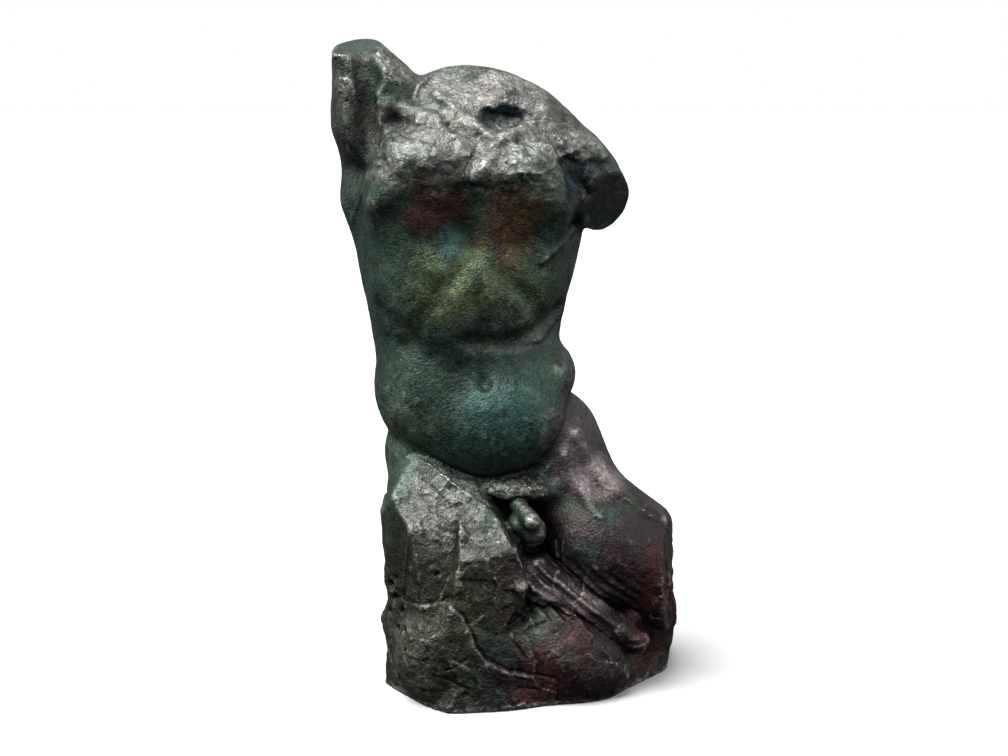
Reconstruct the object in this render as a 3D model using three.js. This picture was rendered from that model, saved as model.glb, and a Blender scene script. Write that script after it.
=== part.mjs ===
// A man's torso in cast bronze, seated on the rock that was cast with it.
//
// The head, both arms and both legs are broken off: the neck at its root, the right arm above the
// raised shoulder, the left arm just below the shoulder, and each thigh half way to the knee. The
// right thigh ends in a slanting break above a squared block of the rock. The drapery runs from the
// lap down between the left thigh and a boulder.
//
// The whole is one solid. It is modelled as a sculptor lays it up: named masses are joined with soft
// seams, flat faces trim them where the metal is broken, hollows are pressed in, and strokes of clay
// raise or press a path over the front or the back. Each mass is a distance field, a function of a
// point that is negative inside, and the mesh is drawn on the zero of the finished field.
//
// Lengths in the masses are in thousandths of the height. +X is the figure's left, -Y is its front
// and +Z is up. Z = 0 is the flat underside.

import * as THREE from "three";

// Driving dimensions
const HEIGHT = 1000; // from the underside to the top of the raised arm, millimetres
const CENTRE = [5, 0]; // middle of the plan, moved to the origin
const LOW = [-282, -203, -13.5]; // the box that holds every mass
const HIGH = [294, 202, 1012];
const CELL = 8; // edge of the grid that the mesh is drawn on
const TRIANGLES = 9600; // most triangles left in the finished mesh
const SEAM_REACH = 40; // strokes are worked out only this near to the surface

const RADIANS = Math.PI / 180;

// ---------------------------------------------------------------------------------- forms

// An ellipsoid about `at`, with half-axes `radii`, its upper end leaned `lean` degrees towards +X.
function egg(at, radii, lean = 0) {
  const cos = Math.cos(lean * RADIANS);
  const sin = Math.sin(lean * RADIANS);
  const [a, b, c] = radii;
  return (x, y, z) => {
    const dx = x - at[0];
    const dz = z - at[2];
    const u = (cos * dx - sin * dz) / a;
    const v = (y - at[1]) / b;
    const w = (sin * dx + cos * dz) / c;
    const reach = Math.hypot(u, v, w);
    return (reach * (reach - 1)) / (Math.hypot(u / a, v / b, w / c) + 1e-9);
  };
}

// How far a point is along the segment, from 0 at its start to 1 at its end, and its distance to it.
function fromSegment(x, y, z, start, end) {
  const ex = end[0] - start[0];
  const ey = end[1] - start[1];
  const ez = end[2] - start[2];
  const dx = x - start[0];
  const dy = y - start[1];
  const dz = z - start[2];
  const along = (dx * ex + dy * ey + dz * ez) / (ex * ex + ey * ey + ez * ez);
  const t = Math.min(1, Math.max(0, along));
  return [t, Math.hypot(dx - t * ex, dy - t * ey, dz - t * ez)];
}

// A round bar from `start` to `end`, with a radius that goes from `r0` to `r1`.
function limb(start, end, r0, r1) {
  return (x, y, z) => {
    const [t, distance] = fromSegment(x, y, z, start, end);
    return distance - r0 - t * (r1 - r0);
  };
}

// Everything behind the flat face through `at` that looks along `normal`.
function face(at, normal) {
  const n = new THREE.Vector3(...normal).normalize();
  const offset = n.x * at[0] + n.y * at[1] + n.z * at[2];
  return (x, y, z) => n.x * x + n.y * y + n.z * z - offset;
}

// The smaller of two distances, rounded over the width `soft` where they meet.
function softMin(a, b, soft) {
  const h = Math.max(soft - Math.abs(a - b), 0);
  return Math.min(a, b) - (h * h) / (4 * soft);
}

// The first form with each [form, seam width] of the rest joined on in turn.
function join(first, ...rest) {
  return (x, y, z) => rest.reduce((d, [form, soft]) => softMin(d, form(x, y, z), soft), first(x, y, z));
}

// The body with everything in front of each [face, edge radius] taken off.
function trim(body, ...faces) {
  return (x, y, z) => faces.reduce((d, [form, soft]) => -softMin(-d, -form(x, y, z), soft), body(x, y, z));
}

// The body with the form pressed into it.
function hollow(body, form, soft) {
  return (x, y, z) => -softMin(-body(x, y, z), form(x, y, z), soft);
}

// ---------------------------------------------------------------------------------- masses

const ribCage = join(
  egg([-118, 12, 700], [98, 104, 185], -3), // right half
  [egg([2, 12, 695], [98, 104, 180], 5), 50], // left half
  [egg([-66, -8, 610], [128, 96, 110]), 40], // lower ribs
);

const trunk = join(
  ribCage,
  [egg([-60, 12, 510], [134, 92, 110]), 45], // waist
  [egg([-16, -31, 424], [112, 86, 95], -14), 30], // belly
  [egg([-124, -12, 452], [72, 78, 84], -12), 42], // right flank
  [egg([64, 14, 490], [47, 66, 54], -24), 24], // left flank, folded over the hip
  [limb([-226, 44, 890], [-202, 45, 755], 36, 43), 24], // right back muscle, drawn up by the arm
  [limb([-202, 45, 755], [-163, 36, 556], 43, 38), 35],
  [limb([92, 42, 760], [62, 32, 572], 42, 27), 30], // left back muscle
  [egg([-118, -48, 790], [92, 56, 80], -38), 42], // right side of the chest
  [egg([20, -50, 778], [90, 56, 74], 12), 42], // left side of the chest
  [egg([-45, 22, 850], [160, 80, 82], 3), 35], // shoulder girdle
  [limb([31, 24, 877], [96, 10, 821], 56, 54), 20], // slope of the left shoulder
  [egg([-132, 62, 780], [62, 44, 92], 12), 26], // shoulder blades
  [egg([36, 60, 776], [58, 42, 84], -14), 26],
);

// The stump of the neck, broken to two flat facets that tip forward over the hollow of the throat.
const throat = egg([4, -86, 884], [54, 56, 28]);
const neckAndTrunk = hollow(
  trim(
    join(trunk, [egg([-38, 34, 893], [116, 76, 66], 8), 12]),
    [face([-50, -50, 901], [-0.08, -0.62, 0.78]), 3],
    [face([20, -46, 903], [0.22, -0.58, 0.78]), 3],
  ),
  throat,
  5,
);

// The raised right arm, broken above the shoulder.
const rightArm = trim(
  hollow(
    join(
      egg([-196, 18, 895], [60, 60, 92], 10),
      [limb([-216, 30, 880], [-222, 30, 1030], 48, 46), 24],
      [limb([-222, 24, 985], [-168, 20, 925], 40, 44), 18],
    ),
    limb([-208, -46, 985], [-216, -36, 820], 26, 16), // armpit
    14,
  ),
  [face([-228, 15, 984], [-0.1, -0.25, 0.96]), 6],
  [face([-167, 0, 973], [0.64, -0.05, 0.77]), 8],
  [face([-190, -34, 955], [0.45, -0.62, 0.64]), 5],
  [face([-262, 0, 930], [-0.99, -0.1, 0.05]), 6],
);

// The hanging left arm, broken just below the shoulder.
const leftArm = trim(
  join(
    egg([88, 2, 806], [62, 62, 54], 40),
    [limb([98, 6, 802], [170, 10, 742], 52, 46), 20],
    [egg([136, 10, 800], [42, 40, 38], 35), 14],
  ),
  [face([157, -2, 763], [0.66, -0.6, -0.44]), 5],
);

const hips = join(
  egg([-34, 40, 345], [152, 96, 96]),
  [egg([-96, 84, 290], [88, 88, 92]), 25], // buttocks
  [egg([78, 88, 300], [92, 86, 94]), 25],
  [egg([65, 24, 381], [80, 74, 84], 30), 25], // left hip
  [egg([-128, 8, 372], [56, 70, 72]), 25], // right hip
);

// The left thigh, spread to the side, with a flat upper facet and a broken end.
const leftThigh = join(
  trim(
    join(
      limb([74, 20, 320], [262, -24, 174], 88, 88),
      [egg([160, -48, 222], [102, 80, 78], 38), 30],
    ),
    [face([252, -60, 200], [0.97, -0.18, 0.02]), 4],
    [face([190, -97, 303], [0.505, -0.376, 0.777]), 6],
    [face([214, 0, 303], [0.6, 0.1, 0.79]), 16],
  ),
  [egg([106, 4, 350], [57, 68, 90], -28), 26],
);

// The right thigh runs forward, and its break looks forward and up.
const rightThigh = trim(
  join(
    limb([-104, 6, 320], [-100, -200, 210], 82, 86),
    [limb([-64, 0, 295], [-60, -200, 190], 84, 92), 20],
  ),
  [face([-60, -103, 324], [0.3, -0.52, 0.8]), 5],
  [face([21, -165, 237], [0.79, -0.14, 0.6]), 6],
);

// The front of the block under the right thigh: the left half leans back, the right one stands proud.
const blockFront = join(
  face([-95, -131, 284], [0.14, -0.972, 0.188]),
  [
    trim(
      face([-65, -168, 236], [0.13, -0.99, 0.05]),
      [face([-70, -150, 240], [-0.85, -0.35, 0.2]), 5],
    ),
    5,
  ],
);

const block = join(
  trim(
    join(
      trim(
        face([22, -165, 200], [0.97, -0.1, 0.1]),
        [face([20, -165, 168], [0.6, -0.6, -0.53]), 10],
        [face([0, 20, 0], [0, 1, 0]), 4],
        [face([0, 0, 250], [0, 0, 1]), 4],
      ),
      [rightThigh, 8],
    ),
    [face([-183, 0, 0], [-1, 0, 0]), 8],
    [face([-181, -30, 60], [-0.96, -0.15, -0.2]), 8],
    [face([-128, -135, 0], [-0.8, -0.6, -0.05]), 6],
    [blockFront, 4],
    [face([-67, -100, 325], [0, -0.81, 0.59]), 3], // the break of the thigh
  ),
  [egg([-90, -118, 80], [76, 66, 92], 10), 6], // swelling on the front
  [egg([-170, -40, 104], [21, 40, 30]), 8], // knob on the side
);

// The seat: a rock of flat faces under the hips.
const seat = trim(
  face([0, 0, 285], [0, 0, 1]),
  [face([-180, 0, 60], [-1, 0, -0.06]), 9],
  [face([-140, -118, 0], [-0.8, -0.6, 0]), 9],
  [face([30, -120, 100], [0.14, -1, 0.3]), 9],
  [face([148, -109, 0], [0.42, -0.9, 0.12]), 9],
  [face([215, -47, 0], [0.78, -0.62, 0.05]), 9],
  [face([262, 60, 0], [1, 0, 0.03]), 9],
  [face([200, 170, 0], [0.6, 0.8, 0]), 9],
  [face([0, 185, 0], [0, 1, 0]), 9],
  [face([-150, 140, 0], [-0.7, 0.7, 0]), 9],
  [face([45, -100, 215], [0.57, -0.35, 0.78]), 9],
  [face([-150, 150, 235], [-0.55, 0.6, 0.58]), 9],
  [face([120, 165, 180], [0.25, 0.8, 0.54]), 9],
  [face([-20, 175, 130], [-0.15, 0.96, 0.24]), 9],
);

// The low ledge along the front of the base.
const ledge = trim(
  face([-6, -174, 0], [0.13, -0.99, 0.03]),
  [face([86, -139, 0], [0.4, -0.91, 0.1]), 10],
  [face([150, -109, 0], [0.7, -0.7, 0.14]), 8],
  [face([0, -150, 122], [0.38, -0.34, 0.86]), 14],
  [face([0, -40, 0], [0, 1, 0]), 8],
  [face([-88, -183, 0], [-0.8, -0.6, 0.05]), 16],
);

// The spur of rock under the broken end of the left thigh.
const spur = trim(
  face([216, -85, 145], [0.68, -0.68, -0.28]),
  [face([216, -85, 145], [-0.26, -0.94, 0.21]), 5],
  [face([271, 0, 115], [1, 0, 0.2]), 6],
  [face([277, 0, 78], [1, 0, -0.18]), 6],
  [face([0, 0, 180], [0, 0, 1]), 6],
  [face([0, 120, 0], [0, 1, 0]), 6],
  [face([130, 0, 0], [-1, 0, 0]), 6],
);

const boulder = egg([78, -78, 66], [122, 84, 84], 22);

const drapery = join(
  egg([118, -72, 140], [124, 46, 34], 38),
  [limb([52, -84, 196], [206, -88, 84], 26, 16), 10],
  [egg([46, -92, 178], [46, 34, 30], 24), 10],
);

const pubis = egg([20, -60, 320], [62, 40, 22], 4);
const sex = join(
  egg([40, -98, 262], [25, 26, 25]),
  [egg([24, -98, 272], [20, 24, 20]), 6],
  [limb([22, -92, 300], [42, -124, 283], 13, 14), 7],
);

const upperBody = join(neckAndTrunk, [rightArm, 14], [leftArm, 22]);
const lowerBody = join(hips, [leftThigh, 25], [pubis, 20], [block, 8]);
const base = join(join(seat, [join(boulder, [ledge, 22]), 6]), [spur, 6], [drapery, 6]);

const mass = trim(
  join(upperBody, [lowerBody, 9], [sex, 5], [base, 5]),
  [face([0, 0, 0], [0, 0, -1]), 1], // the underside
);

// ---------------------------------------------------------------------------------- strokes of clay

// Each stroke is a path of [x, z] over the surface, its half-width and its height.
const FRONT = [
  { path: [[-50, 825], [-50, 770], [-52, 700]], width: 16, height: -9 }, // breastbone
  { path: [[-66, 718], [-100, 706], [-140, 713], [-178, 750]], width: 18, height: -3 }, // under the chest
  { path: [[-40, 718], [0, 696], [40, 698], [78, 728]], width: 18, height: -4 },
  { path: [[-190, 758], [-160, 788], [-143, 818], [-72, 836]], width: 22, height: 12 }, // crests
  { path: [[-44, 802], [-20, 812], [12, 804], [34, 818], [62, 832]], width: 17, height: 12 },
  { path: [[-132, 776], [-98, 748]], width: 34, height: -9 }, // hollows under the crests
  { path: [[-20, 764], [28, 730]], width: 34, height: -9 },
  { path: [[-213, 978], [-200, 940], [-203, 871], [-201, 818]], width: 14, height: -14 }, // armpit
  { path: [[-101, 915], [-72, 892], [-40, 868]], width: 9, height: 10 }, // neck tendon
  { path: [[-194, 920], [-160, 905], [-128, 889], [-104, 878]], width: 11, height: 9 }, // collar bones
  { path: [[-39, 866], [-12, 850], [28, 863], [72, 866], [102, 856]], width: 10, height: 9 },
  { path: [[61, 895], [92, 885], [106, 872]], width: 10, height: 9 },
  { path: [[-158, 836], [-148, 828]], width: 26, height: 7 }, // upper chest
  { path: [[-152, 874], [-140, 866]], width: 17, height: -6 },
  { path: [[84, 846], [112, 850], [142, 832]], width: 16, height: 10 }, // head of the left shoulder
  { path: [[98, 818], [108, 775]], width: 17, height: -18 }, // hollow below it
  { path: [[118, 724], [100, 700], [62, 676]], width: 9, height: 5 }, // edge of the left side
  { path: [[-40, 620], [-32, 560], [-30, 500]], width: 12, height: -4 }, // midline of the belly
  { path: [[-44, 690], [-92, 632], [-128, 575], [-150, 545]], width: 16, height: -5 }, // rib arch
  { path: [[-30, 680], [30, 622], [66, 580]], width: 16, height: -4 },
  { path: [[-52, 552], [-10, 548], [30, 554], [58, 570], [84, 590]], width: 13, height: -10 }, // waist fold
  { path: [[-190, 600], [-150, 570], [-112, 530]], width: 14, height: -4 },
  { path: [[-31, 492], [-29, 488]], width: 8, height: -11 }, // navel
  { path: [[112, 402], [140, 350], [182, 318], [216, 292], [244, 272]], width: 13, height: 7 }, // thigh
  { path: [[94, 372], [118, 322], [142, 292]], width: 14, height: 6 },
  { path: [[52, 212], [110, 165], [166, 118], [200, 90]], width: 9, height: 9 }, // folds of the drapery
  { path: [[30, 218], [62, 176], [100, 142]], width: 7, height: 8 },
  { path: [[24, 190], [50, 172], [76, 158]], width: 8, height: 8 },
];
const BACK = [
  { path: [[-48, 850], [-50, 760], [-46, 660], [-38, 560], [-28, 420]], width: 18, height: -12 }, // spine
  { path: [[-78, 640], [-70, 540], [-62, 460]], width: 22, height: 7 }, // muscles along the spine
  { path: [[-14, 640], [-8, 540], [2, 460]], width: 22, height: 7 },
  { path: [[-186, 730], [-140, 700], [-90, 720]], width: 16, height: -6 }, // under the shoulder blades
  { path: [[80, 730], [40, 700], [0, 716]], width: 16, height: -6 },
  { path: [[-26, 400], [-20, 330], [-16, 290]], width: 16, height: -18 }, // between the buttocks
];

// Where a line along Y at (x, z), coming from the side of the given sign, first meets the mass.
function touch(x, z, sign) {
  let y = sign * 280;
  while (mass(x, y, z) > 0 && Math.abs(y) <= 280) y -= sign * 2;
  return [x, y, z];
}

const strokes = [[FRONT, -1], [BACK, 1]].flatMap(([list, sign]) =>
  list.map(({ path, width, height }) => ({
    points: path.map(([x, z]) => touch(x, z, sign)),
    width,
    height,
  })),
);

// The mass with each stroke laid on it: the height falls off as a bell curve across the path.
function form(x, y, z) {
  let d = mass(x, y, z);
  if (Math.abs(d) > SEAM_REACH) return d;
  for (const { points, width, height } of strokes) {
    let nearest = Infinity;
    for (let i = 1; i < points.length; i++) {
      nearest = Math.min(nearest, fromSegment(x, y, z, points[i - 1], points[i])[1]);
    }
    d -= height * Math.exp(-((nearest / width) ** 2));
  }
  return d;
}

// ---------------------------------------------------------------------------------- mesh

// The six tetrahedra round the long diagonal of a cube, by the corners' binary numbers (xyz bits).
const TETRAHEDRA = [
  [0, 1, 3, 7],
  [0, 1, 5, 7],
  [0, 2, 3, 7],
  [0, 2, 6, 7],
  [0, 4, 5, 7],
  [0, 4, 6, 7],
];

// The zero surface of the field over a grid, cut tetrahedron by tetrahedron, which always closes.
function drawSurface(field, low, high, cell) {
  const count = low.map((v, i) => Math.ceil((high[i] - v) / cell) + 1);
  const [nx, ny, nz] = count;
  const place = (n) => [
    low[0] + cell * (n % nx),
    low[1] + cell * (Math.floor(n / nx) % ny),
    low[2] + cell * Math.floor(n / (nx * ny)),
  ];
  const value = Float64Array.from({ length: nx * ny * nz }, (_, n) => field(...place(n)));
  const points = [];
  const triangles = [];
  const known = new Map();
  const crossing = (inner, outer) => {
    const key = Math.min(inner, outer) * value.length + Math.max(inner, outer);
    if (!known.has(key)) {
      const t = Math.min(0.95, Math.max(0.05, value[inner] / (value[inner] - value[outer])));
      const a = place(inner);
      const b = place(outer);
      known.set(key, points.push(a.map((v, i) => v + t * (b[i] - v))) - 1);
    }
    return known.get(key);
  };
  const add = (i, j, k, outward) => {
    const [a, b, c] = [i, j, k].map((n) => new THREE.Vector3(...points[n]));
    const normal = b.sub(a).cross(c.sub(a));
    triangles.push(normal.dot(outward) > 0 ? [i, j, k] : [i, k, j]);
  };
  for (let n = 0; n < value.length; n++) {
    const [i, j, k] = [n % nx, Math.floor(n / nx) % ny, Math.floor(n / (nx * ny))];
    if (i === nx - 1 || j === ny - 1 || k === nz - 1) continue;
    const corner = (c) => n + (c & 1) + ((c >> 1) & 1) * nx + (c >> 2) * nx * ny;
    for (const tetrahedron of TETRAHEDRA) {
      const corners = tetrahedron.map(corner);
      const inside = corners.filter((c) => value[c] < 0);
      const outside = corners.filter((c) => value[c] >= 0);
      if (!inside.length || !outside.length) continue;
      const middle = (list) =>
        list.reduce((sum, c) => sum.add(new THREE.Vector3(...place(c))), new THREE.Vector3())
          .divideScalar(list.length);
      const outward = middle(outside).sub(middle(inside));
      const cuts = inside.flatMap((a) => outside.map((b) => crossing(a, b)));
      add(cuts[0], cuts[1], cuts[2], outward);
      if (cuts.length === 4) add(cuts[1], cuts[2], cuts[3], outward);
    }
  }
  return { points, triangles };
}

// The corners of a small tetrahedron: sampled there, a field gives its value and its slope at once.
const PROBES = [[1, -1, -1], [-1, -1, 1], [-1, 1, -1], [1, 1, 1]];
const PROBE_STEP = 0.4; // half an edge of the cube round it
const LONGEST_MOVE = 2; // most that a point moves in one round
const GROUND = 1.2; // points this near to the underside are put on it

// Each point moved along the slope of the field until it lies on the surface; the underside stays flat.
// Gives the direction that the surface faces at each point.
function settle(field, points) {
  return points.map((p) => {
    const slope = new THREE.Vector3();
    for (let round = 0; round < 2; round++) {
      const samples = PROBES.map((probe) => field(...p.map((v, i) => v + PROBE_STEP * probe[i])));
      const along = (axis) => samples.reduce((sum, v, n) => sum + v * PROBES[n][axis], 0);
      slope.set(along(0), along(1), along(2)).divideScalar(4 * PROBE_STEP);
      const value = samples.reduce((sum, v) => sum + v, 0) / 4;
      const wanted = -value / Math.max(0.1, slope.lengthSq());
      const move = THREE.MathUtils.clamp(wanted, -LONGEST_MOVE, LONGEST_MOVE);
      p[0] += slope.x * move;
      p[1] += slope.y * move;
      p[2] += slope.z * move;
    }
    if (Math.abs(p[2]) < GROUND) p[2] = 0;
    return slope.normalize();
  });
}

// ---------------------------------------------------------------------------------- fewer triangles

const EVEN_EDGES = 1e-3; // cost of a long edge, which keeps the flat parts evenly divided
const LEAST_DETERMINANT = 1e-3; // below this three planes are too nearly parallel to fix a place
const LEAST_COSINE = 0.3; // a triangle turns less than this when one of its corners moves
const LEAST_ROUNDNESS = 0.02; // below this a triangle is a sliver

// The squared distance to a set of planes, kept as the ten numbers of a symmetric 4 by 4 matrix.
const PAIRS = [[0, 0], [0, 1], [0, 2], [0, 3], [1, 1], [1, 2], [1, 3], [2, 2], [2, 3], [3, 3]];

function misfit(q, [x, y, z]) {
  const v = [x, y, z, 1];
  return PAIRS.reduce((sum, [i, j], n) => sum + (i === j ? 1 : 2) * q[n] * v[i] * v[j], 0);
}

// The place that fits the planes of q best, or null where they don't fix one.
function bestPlace(q) {
  const m = new THREE.Matrix3(q[0], q[1], q[2], q[1], q[4], q[5], q[2], q[5], q[7]);
  const scale = (q[0] + q[4] + q[7]) / 3;
  if (Math.abs(m.determinant()) < LEAST_DETERMINANT * scale ** 3) return null;
  return new THREE.Vector3(-q[3], -q[6], -q[8]).applyMatrix3(m.invert()).toArray();
}

function distance(a, b) {
  return Math.hypot(a[0] - b[0], a[1] - b[1], a[2] - b[2]);
}

function normalOf(a, b, c) {
  const [u, v] = [b, c].map((p) => new THREE.Vector3(p[0] - a[0], p[1] - a[1], p[2] - a[2]));
  return u.cross(v);
}

// A heap of edges, the one that costs least on top.
class EdgeHeap {
  constructor() {
    this.items = [];
  }

  push(item) {
    const { items } = this;
    let i = items.push(item) - 1;
    while (i > 0) {
      const parent = (i - 1) >> 1;
      if (items[parent].cost <= items[i].cost) break;
      [items[parent], items[i]] = [items[i], items[parent]];
      i = parent;
    }
  }

  pop() {
    const { items } = this;
    const top = items[0];
    const last = items.pop();
    if (items.length) {
      items[0] = last;
      let i = 0;
      for (;;) {
        let least = i;
        for (const child of [2 * i + 1, 2 * i + 2]) {
          if (child < items.length && items[child].cost < items[least].cost) least = child;
        }
        if (least === i) break;
        [items[least], items[i]] = [items[i], items[least]];
        i = least;
      }
    }
    return top;
  }
}

// Edges drawn together, the least noticed first, until the budget is met. The surface stays closed.
function thin({ points, triangles }, facing, budget) {
  const around = points.map(() => new Set());
  triangles.forEach((t, n) => t.forEach((p) => around[p].add(n)));
  const planes = points.map(() => new Float64Array(10));
  for (const t of triangles) {
    const area = normalOf(...t.map((p) => points[p])).length() / 2;
    for (const corner of t) {
      const n = facing[corner];
      const v = [n.x, n.y, n.z, -n.dot(new THREE.Vector3(...points[corner]))];
      PAIRS.forEach(([i, j], m) => t.forEach((p) => (planes[p][m] += (area / 3) * v[i] * v[j])));
    }
  }
  const stamp = new Int32Array(points.length);
  const neighbours = (p) =>
    new Set([...around[p]].flatMap((n) => triangles[n]).filter((other) => other !== p));
  const grounded = (p) => points[p][2] === 0;

  // The places an edge may shrink to: never off the underside once one of its ends lies on it.
  function places(a, b, q) {
    const [pa, pb] = [points[a], points[b]];
    if (grounded(a) !== grounded(b)) return [grounded(a) ? pa : pb];
    const middle = pa.map((v, i) => (v + pb[i]) / 2);
    const best = grounded(a) ? null : bestPlace(q);
    const near = best && distance(best, middle) < 2 * distance(pa, pb);
    return near ? [best, middle, pa, pb] : [middle, pa, pb];
  }

  const heap = new EdgeHeap();
  function weigh(a, b) {
    const q = planes[a].map((v, n) => v + planes[b][n]);
    const evenness = EVEN_EDGES * distance(points[a], points[b]) ** 2;
    for (const place of places(a, b, q)) {
      const cost = Math.max(0, misfit(q, place)) + evenness;
      heap.push({ cost, a, b, place, stamps: [stamp[a], stamp[b]] });
    }
  }

  // Whether a triangle would turn over, or become a sliver, when its corner moves to the place.
  function spoils(n, moved, place) {
    const corners = triangles[n].map((p) => points[p]);
    const changed = triangles[n].map((p) => (p === moved ? place : points[p]));
    const before = normalOf(...corners);
    const after = normalOf(...changed);
    const edges = changed.map((p, i) => distance(p, changed[(i + 1) % 3]));
    const roundness = after.length() / edges.reduce((sum, v) => sum + v * v, 0);
    const turned = after.dot(before) < LEAST_COSINE * after.length() * before.length();
    return turned || roundness < LEAST_ROUNDNESS;
  }

  points.forEach((_, a) => neighbours(a).forEach((b) => a < b && weigh(a, b)));
  let left = triangles.length;
  while (left > budget && heap.items.length) {
    const { a, b, place, stamps } = heap.pop();
    if (stamps[0] !== stamp[a] || stamps[1] !== stamp[b] || !around[a].size || !around[b].size) continue;
    const shared = [...around[a]].filter((n) => around[b].has(n));
    const beside = neighbours(b);
    if (shared.length !== 2 || [...neighbours(a)].filter((p) => beside.has(p)).length !== 2) continue;
    const kept = (p) => [...around[p]].filter((n) => !shared.includes(n));
    if (kept(a).some((n) => spoils(n, a, place)) || kept(b).some((n) => spoils(n, b, place))) continue;
    for (const n of shared) triangles[n].forEach((p) => around[p].delete(n));
    for (const n of around[b]) {
      triangles[n] = triangles[n].map((p) => (p === b ? a : p));
      around[a].add(n);
    }
    around[b].clear();
    points[a] = place;
    planes[a].forEach((v, n) => (planes[a][n] = v + planes[b][n]));
    stamp[a] += 1;
    left -= 2;
    for (const p of neighbours(a)) weigh(a, p);
  }
  return { points, triangles: triangles.filter((t, n) => around[t[0]].has(n)) };
}

// ---------------------------------------------------------------------------------- part

function torsoGeometry() {
  const surface = drawSurface(form, LOW, HIGH, CELL);
  const facing = settle(form, surface.points);
  const { points, triangles } = thin(surface, facing, TRIANGLES);
  const used = [...new Set(triangles.flat())];
  const number = new Map(used.map((p, i) => [p, i]));
  const scale = HEIGHT / 1000;
  const places = used.flatMap((p) => {
    const [x, y, z] = points[p];
    return [(x - CENTRE[0]) * scale, (y - CENTRE[1]) * scale, z * scale];
  });
  const geometry = new THREE.BufferGeometry();
  geometry.setAttribute("position", new THREE.Float32BufferAttribute(places, 3));
  geometry.setIndex(triangles.flat().map((p) => number.get(p)));
  geometry.computeVertexNormals();
  return geometry;
}

const bronze = new THREE.MeshStandardMaterial({
  color: 0x3c4638,
  metalness: 0.6,
  roughness: 0.5,
  flatShading: true,
});

const torso = new THREE.Mesh(torsoGeometry(), bronze);
torso.name = "torso";

const group = new THREE.Group();
group.add(torso);

export default group;
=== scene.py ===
"""A man's torso in cast bronze, seated on the rock that was cast with it.

The figure is laid up as a sculptor does it. Named masses are joined with soft seams, trimmed flat
where the metal is broken, and strokes of clay raise or press a path over them. Each mass is a distance
field: a function of a point that is negative inside. The skin is drawn where the finished field is
zero, and is then worked with the chips, cracks and grain of the old metal. Last come the patina and
the room.

The forms are in thousandths of the height, which are millimetres here. +X is the figure's left, -Y is
its front, +Z is up, and z = 0 is the flat underside.
"""
import math

import bpy
import numpy as np
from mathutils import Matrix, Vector


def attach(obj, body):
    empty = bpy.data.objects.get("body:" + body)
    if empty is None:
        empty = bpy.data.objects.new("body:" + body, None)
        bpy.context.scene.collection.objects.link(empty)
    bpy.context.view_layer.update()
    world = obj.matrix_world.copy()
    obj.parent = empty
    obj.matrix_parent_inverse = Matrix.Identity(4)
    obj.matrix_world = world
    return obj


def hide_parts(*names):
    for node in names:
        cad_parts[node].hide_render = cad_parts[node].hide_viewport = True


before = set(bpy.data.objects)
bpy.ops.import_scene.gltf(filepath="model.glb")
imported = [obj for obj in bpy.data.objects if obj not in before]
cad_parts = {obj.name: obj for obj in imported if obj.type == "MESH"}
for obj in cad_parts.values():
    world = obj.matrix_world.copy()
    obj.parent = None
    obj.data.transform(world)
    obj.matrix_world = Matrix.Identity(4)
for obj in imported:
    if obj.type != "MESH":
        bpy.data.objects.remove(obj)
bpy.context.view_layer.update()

CENTRE = (5.0, 0.0)  # middle of the plan, which stands at the origin
LOW = (-282.0, -203.0, -13.0)
HIGH = (294.0, 202.0, 1014.0)
CELL = 4.7  # grid of the first skin; each of its faces is then cut in four
TRIANGLES = 196000  # left in the finished skin


# ---------------------------------------------------------------- forms


def egg(at, radii, lean=0):
    """An ellipsoid about a point, its upper end leaned towards +X by so many degrees."""
    cos, sin = math.cos(math.radians(lean)), math.sin(math.radians(lean))
    a, b, c = radii

    def form(x, y, z):
        dx, dz = x - at[0], z - at[2]
        u, v, w = (cos * dx - sin * dz) / a, (y - at[1]) / b, (sin * dx + cos * dz) / c
        reach = np.sqrt(u * u + v * v + w * w)
        return reach * (reach - 1) / (np.sqrt((u / a) ** 2 + (v / b) ** 2 + (w / c) ** 2) + 1e-9)

    return form


def from_segment(x, y, z, start, end):
    """How far along a segment a point is, from 0 to 1, and its distance to it."""
    ex, ey, ez = (e - s for s, e in zip(start, end))
    dx, dy, dz = x - start[0], y - start[1], z - start[2]
    t = np.clip((dx * ex + dy * ey + dz * ez) / (ex * ex + ey * ey + ez * ez), 0, 1)
    return t, np.sqrt((dx - t * ex) ** 2 + (dy - t * ey) ** 2 + (dz - t * ez) ** 2)


def limb(start, end, r0, r1):
    """A round bar: the distance to a segment, less a radius that goes from r0 to r1 along it."""

    def form(x, y, z):
        t, distance = from_segment(x, y, z, start, end)
        return distance - r0 - t * (r1 - r0)

    return form


def face(at, normal):
    """The half-space behind a flat face through a point, the normal pointing out of it."""
    length = math.sqrt(sum(v * v for v in normal))
    a, b, c = (v / length for v in normal)
    offset = a * at[0] + b * at[1] + c * at[2]
    return lambda x, y, z: a * x + b * y + c * z - offset


def soft_min(a, b, soft):
    """The smaller of two, rounded over where they are closer than `soft`."""
    h = np.maximum(soft - np.abs(a - b), 0)
    return np.minimum(a, b) - h * h / (4 * soft)


def join(first, *rest):
    """A form with others joined to it, each with a seam of its own softness."""

    def form(x, y, z):
        d = first(x, y, z)
        for other, soft in rest:
            d = soft_min(d, other(x, y, z), soft)
        return d

    return form


def trim(body, *faces):
    """What of a form lies inside other forms, each edge rounded by its own softness."""

    def form(x, y, z):
        d = body(x, y, z)
        for other, soft in faces:
            d = -soft_min(-d, -other(x, y, z), soft)
        return d

    return form


def hollow(body, other, soft):
    """A form with another pressed out of it."""
    return lambda x, y, z: -soft_min(-body(x, y, z), other(x, y, z), soft)


# ---------------------------------------------------------------- masses

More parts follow.
